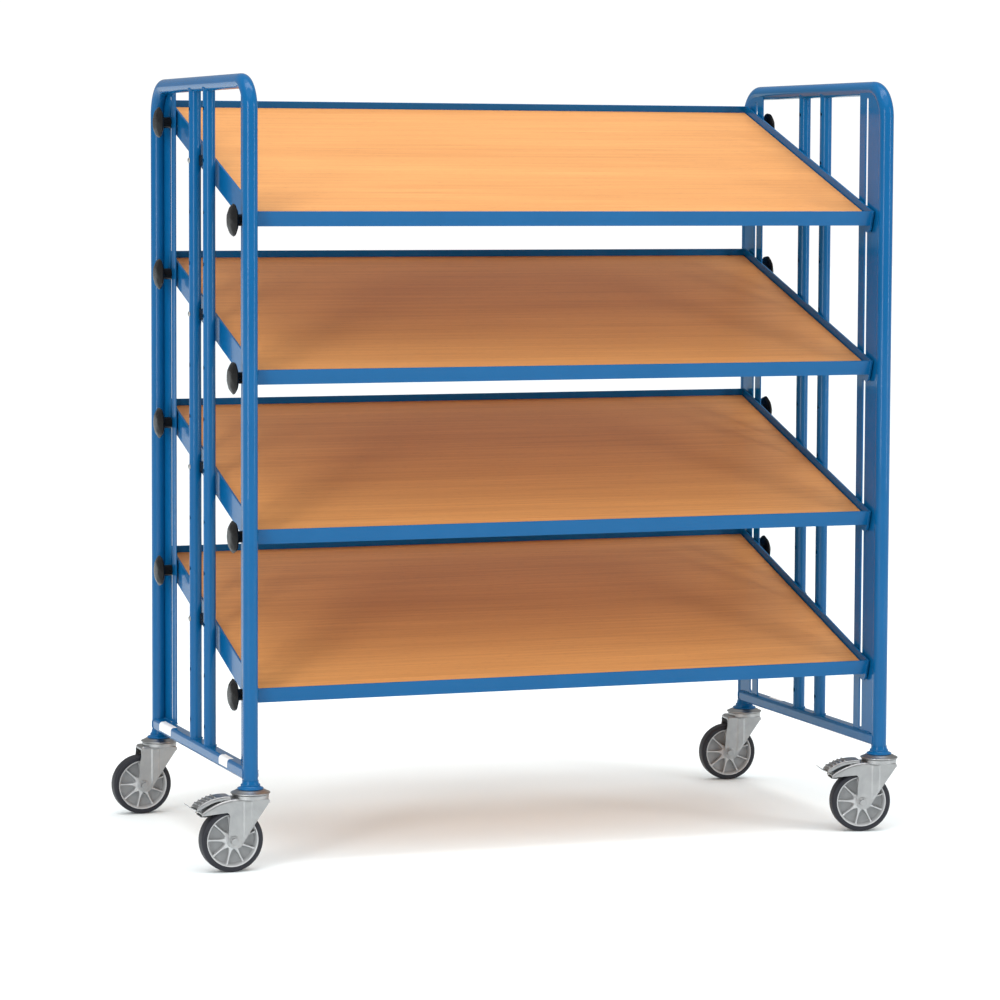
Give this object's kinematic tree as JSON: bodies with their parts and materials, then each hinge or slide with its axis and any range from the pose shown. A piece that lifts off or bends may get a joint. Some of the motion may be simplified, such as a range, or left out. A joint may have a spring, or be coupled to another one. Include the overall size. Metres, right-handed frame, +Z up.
{
  "type": "book cart",
  "caption": "Book cart with tilting beech-decor shelves clamped between two tubular steel hoop frames on swivel casters.",
  "frame": {"origin": "on the floor, under the centre of the cart's outline", "axes": "+X along the cart towards its right end, +Y to the rear (the high side of the shelves), +Z up"},
  "size_m": [1.527, 0.7678, 1.554],
  "materials": {
    "frame_blue": "gloss powder coat",
    "beech_board": "satin beech decor",
    "black_plastic": "fine grain",
    "zinc": "bright zinc plate",
    "rim_grey": "die cast, silver",
    "tyre": "matte rubber"
  },
  "bodies": {
    "frames": {"left_hoop": "frame_blue", "right_hoop": "frame_blue", "bottom_rails": "frame_blue", "middle_tubes": "frame_blue", "slotted_rails": "frame_blue", "caster_sockets": "frame_blue", "caster_heads": "zinc", "pivot_brackets": "black_plastic"},
    "shelf_1": {"shelf_frame_1": "frame_blue", "shelf_board_1": "beech_board"},
    "shelf_2": {"shelf_frame_2": "frame_blue", "shelf_board_2": "beech_board"},
    "shelf_3": {"shelf_frame_3": "frame_blue", "shelf_board_3": "beech_board"},
    "shelf_4": {"shelf_frame_4": "frame_blue", "shelf_board_4": "beech_board"},
    "clamps_1_front": {"clamp_bolts_1_front": "zinc"},
    "knob_1_left_front_body": {"knob_1_left_front": "black_plastic"},
    "knob_1_right_front_body": {"knob_1_right_front": "black_plastic"},
    "clamps_1_rear": {"clamp_bolts_1_rear": "zinc"},
    "knob_1_left_rear_body": {"knob_1_left_rear": "black_plastic"},
    "knob_1_right_rear_body": {"knob_1_right_rear": "black_plastic"},
    "clamps_2_front": {"clamp_bolts_2_front": "zinc"},
    "knob_2_left_front_body": {"knob_2_left_front": "black_plastic"},
    "knob_2_right_front_body": {"knob_2_right_front": "black_plastic"},
    "clamps_2_rear": {"clamp_bolts_2_rear": "zinc"},
    "knob_2_left_rear_body": {"knob_2_left_rear": "black_plastic"},
    "knob_2_right_rear_body": {"knob_2_right_rear": "black_plastic"},
    "clamps_3_front": {"clamp_bolts_3_front": "zinc"},
    "knob_3_left_front_body": {"knob_3_left_front": "black_plastic"},
    "knob_3_right_front_body": {"knob_3_right_front": "black_plastic"},
    "clamps_3_rear": {"clamp_bolts_3_rear": "zinc"},
    "knob_3_left_rear_body": {"knob_3_left_rear": "black_plastic"},
    "knob_3_right_rear_body": {"knob_3_right_rear": "black_plastic"},
    "clamps_4_front": {"clamp_bolts_4_front": "zinc"},
    "knob_4_left_front_body": {"knob_4_left_front": "black_plastic"},
    "knob_4_right_front_body": {"knob_4_right_front": "black_plastic"},
    "clamps_4_rear": {"clamp_bolts_4_rear": "zinc"},
    "knob_4_left_rear_body": {"knob_4_left_rear": "black_plastic"},
    "knob_4_right_rear_body": {"knob_4_right_rear": "black_plastic"},
    "caster_left_front": {"fork_left_front": "zinc", "axle_left_front": "zinc"},
    "wheel_left_front": {"rim_left_front": "rim_grey", "tyre_left_front": "tyre"},
    "caster_left_rear": {"fork_left_rear": "zinc", "axle_left_rear": "zinc"},
    "wheel_left_rear": {"rim_left_rear": "rim_grey", "tyre_left_rear": "tyre"},
    "caster_right_front": {"fork_right_front": "zinc", "axle_right_front": "zinc"},
    "wheel_right_front": {"rim_right_front": "rim_grey", "tyre_right_front": "tyre"},
    "caster_right_rear": {"fork_right_rear": "zinc", "axle_right_rear": "zinc"},
    "wheel_right_rear": {"rim_right_rear": "rim_grey", "tyre_right_rear": "tyre"},
    "pedal_left": {"pedal_left_front": "zinc"},
    "pedal_right": {"pedal_right_front": "zinc"}
  },
  "joints": [
    {"name": "shelf_1_tilt", "type": "hinge", "parent": "frames", "child": "shelf_1", "pos_m": [0.0445, 0, 1.385], "axis": [1, 0, 0], "range_deg": [-19.2, 0.8]},
    {"name": "shelf_2_tilt", "type": "hinge", "parent": "frames", "child": "shelf_2", "pos_m": [0.0445, 0, 1.073], "axis": [1, 0, 0], "range_deg": [-18.5, 1.5]},
    {"name": "shelf_3_tilt", "type": "hinge", "parent": "frames", "child": "shelf_3", "pos_m": [0.0445, 0, 0.761], "axis": [1, 0, 0], "range_deg": [-18.5, 1.5]},
    {"name": "shelf_4_tilt", "type": "hinge", "parent": "frames", "child": "shelf_4", "pos_m": [0.0445, 0, 0.449], "axis": [1, 0, 0], "range_deg": [-18.5, 1.5]},
    {"name": "clamps_1_front_slide", "type": "slide", "parent": "frames", "child": "clamps_1_front", "axis": [0, 0, 1], "range_m": [-0.0051, 0.0995]},
    {"name": "knob_1_left_front_turn", "type": "hinge", "parent": "clamps_1_front", "child": "knob_1_left_front_body", "pos_m": [-0.6455, -0.28, 1.26896], "axis": [-1, 0, 0], "continuous": true},
    {"name": "knob_1_right_front_turn", "type": "hinge", "parent": "clamps_1_front", "child": "knob_1_right_front_body", "pos_m": [0.7345, -0.28, 1.26896], "axis": [1, 0, 0], "continuous": true},
    {"name": "clamps_1_rear_slide", "type": "slide", "parent": "frames", "child": "clamps_1_rear", "axis": [0, 0, 1], "range_m": [-0.0975, 0.005]},
    {"name": "knob_1_left_rear_turn", "type": "hinge", "parent": "clamps_1_rear", "child": "knob_1_left_rear_body", "pos_m": [-0.6455, 0.28, 1.46398], "axis": [-1, 0, 0], "continuous": true},
    {"name": "knob_1_right_rear_turn", "type": "hinge", "parent": "clamps_1_rear", "child": "knob_1_right_rear_body", "pos_m": [0.7345, 0.28, 1.46398], "axis": [1, 0, 0], "continuous": true},
    {"name": "clamps_2_front_slide", "type": "slide", "parent": "frames", "child": "clamps_2_front", "axis": [0, 0, 1], "range_m": [-0.0087, 0.0956]},
    {"name": "knob_2_left_front_turn", "type": "hinge", "parent": "clamps_2_front", "child": "knob_2_left_front_body", "pos_m": [-0.6455, -0.28, 0.96086], "axis": [-1, 0, 0], "continuous": true},
    {"name": "knob_2_right_front_turn", "type": "hinge", "parent": "clamps_2_front", "child": "knob_2_right_front_body", "pos_m": [0.7345, -0.28, 0.96086], "axis": [1, 0, 0], "continuous": true},
    {"name": "clamps_2_rear_slide", "type": "slide", "parent": "frames", "child": "clamps_2_rear", "axis": [0, 0, 1], "range_m": [-0.0937, 0.0085]},
    {"name": "knob_2_left_rear_turn", "type": "hinge", "parent": "clamps_2_rear", "child": "knob_2_left_rear_body", "pos_m": [-0.6455, 0.28, 1.14823], "axis": [-1, 0, 0], "continuous": true},
    {"name": "knob_2_right_rear_turn", "type": "hinge", "parent": "clamps_2_rear", "child": "knob_2_right_rear_body", "pos_m": [0.7345, 0.28, 1.14823], "axis": [1, 0, 0], "continuous": true},
    {"name": "clamps_3_front_slide", "type": "slide", "parent": "frames", "child": "clamps_3_front", "axis": [0, 0, 1], "range_m": [-0.0087, 0.0956]},
    {"name": "knob_3_left_front_turn", "type": "hinge", "parent": "clamps_3_front", "child": "knob_3_left_front_body", "pos_m": [-0.6455, -0.28, 0.64886], "axis": [-1, 0, 0], "continuous": true},
    {"name": "knob_3_right_front_turn", "type": "hinge", "parent": "clamps_3_front", "child": "knob_3_right_front_body", "pos_m": [0.7345, -0.28, 0.64886], "axis": [1, 0, 0], "continuous": true},
    {"name": "clamps_3_rear_slide", "type": "slide", "parent": "frames", "child": "clamps_3_rear", "axis": [0, 0, 1], "range_m": [-0.0937, 0.0085]},
    {"name": "knob_3_left_rear_turn", "type": "hinge", "parent": "clamps_3_rear", "child": "knob_3_left_rear_body", "pos_m": [-0.6455, 0.28, 0.83623], "axis": [-1, 0, 0], "continuous": true},
    {"name": "knob_3_right_rear_turn", "type": "hinge", "parent": "clamps_3_rear", "child": "knob_3_right_rear_body", "pos_m": [0.7345, 0.28, 0.83623], "axis": [1, 0, 0], "continuous": true},
    {"name": "clamps_4_front_slide", "type": "slide", "parent": "frames", "child": "clamps_4_front", "axis": [0, 0, 1], "range_m": [-0.0087, 0.0956]},
    {"name": "knob_4_left_front_turn", "type": "hinge", "parent": "clamps_4_front", "child": "knob_4_left_front_body", "pos_m": [-0.6455, -0.28, 0.33686], "axis": [-1, 0, 0], "continuous": true},
    {"name": "knob_4_right_front_turn", "type": "hinge", "parent": "clamps_4_front", "child": "knob_4_right_front_body", "pos_m": [0.7345, -0.28, 0.33686], "axis": [1, 0, 0], "continuous": true},
    {"name": "clamps_4_rear_slide", "type": "slide", "parent": "frames", "child": "clamps_4_rear", "axis": [0, 0, 1], "range_m": [-0.0937, 0.0085]},
    {"name": "knob_4_left_rear_turn", "type": "hinge", "parent": "clamps_4_rear", "child": "knob_4_left_rear_body", "pos_m": [-0.6455, 0.28, 0.52423], "axis": [-1, 0, 0], "continuous": true},
    {"name": "knob_4_right_rear_turn", "type": "hinge", "parent": "clamps_4_rear", "child": "knob_4_right_rear_body", "pos_m": [0.7345, 0.28, 0.52423], "axis": [1, 0, 0], "continuous": true},
    {"name": "caster_left_front_swivel", "type": "hinge", "parent": "frames", "child": "caster_left_front", "pos_m": [-0.6355, -0.345, 0.15], "axis": [0, 0, 1], "continuous": true},
    {"name": "wheel_left_front_roll", "type": "hinge", "parent": "caster_left_front", "child": "wheel_left_front", "pos_m": [-0.6755, -0.345, 0.0625], "axis": [0, 1, 0], "continuous": true},
    {"name": "caster_left_rear_swivel", "type": "hinge", "parent": "frames", "child": "caster_left_rear", "pos_m": [-0.6355, 0.345, 0.15], "axis": [0, 0, 1], "continuous": true},
    {"name": "wheel_left_rear_roll", "type": "hinge", "parent": "caster_left_rear", "child": "wheel_left_rear", "pos_m": [-0.6755, 0.345, 0.0625], "axis": [0, 1, 0], "continuous": true},
    {"name": "caster_right_front_swivel", "type": "hinge", "parent": "frames", "child": "caster_right_front", "pos_m": [0.7245, -0.345, 0.15], "axis": [0, 0, 1], "continuous": true},
    {"name": "wheel_right_front_roll", "type": "hinge", "parent": "caster_right_front", "child": "wheel_right_front", "pos_m": [0.68537, -0.33668, 0.0625], "axis": [0.2079, 0.9781, 0], "continuous": true},
    {"name": "caster_right_rear_swivel", "type": "hinge", "parent": "frames", "child": "caster_right_rear", "pos_m": [0.7245, 0.345, 0.15], "axis": [0, 0, 1], "continuous": true},
    {"name": "wheel_right_rear_roll", "type": "hinge", "parent": "caster_right_rear", "child": "wheel_right_rear", "pos_m": [0.6848, 0.34987, 0.0625], "axis": [0.1219, 0.9925, 0], "continuous": true},
    {"name": "pedal_left_press", "type": "hinge", "parent": "caster_left_front", "child": "pedal_left", "pos_m": [-0.6955, -0.345, 0.1445], "axis": [0, 1, 0], "range_deg": [-10, 0]},
    {"name": "pedal_right_press", "type": "hinge", "parent": "caster_right_front", "child": "pedal_right", "pos_m": [0.66581, -0.33253, 0.1445], "axis": [0.2079, 0.9781, 0], "range_deg": [-10, 0]}
  ],
  "couplings": [
    {"joint": "clamps_1_front_slide", "follows": "shelf_1_tilt", "m_per_rad": -0.29405},
    {"joint": "clamps_1_rear_slide", "follows": "shelf_1_tilt", "m_per_rad": 0.2879},
    {"joint": "clamps_2_front_slide", "follows": "shelf_2_tilt", "m_per_rad": -0.29311},
    {"joint": "clamps_2_rear_slide", "follows": "shelf_2_tilt", "m_per_rad": 0.2872},
    {"joint": "clamps_3_front_slide", "follows": "shelf_3_tilt", "m_per_rad": -0.29311},
    {"joint": "clamps_3_rear_slide", "follows": "shelf_3_tilt", "m_per_rad": 0.2872},
    {"joint": "clamps_4_front_slide", "follows": "shelf_4_tilt", "m_per_rad": -0.29311},
    {"joint": "clamps_4_rear_slide", "follows": "shelf_4_tilt", "m_per_rad": 0.2872}
  ]
}
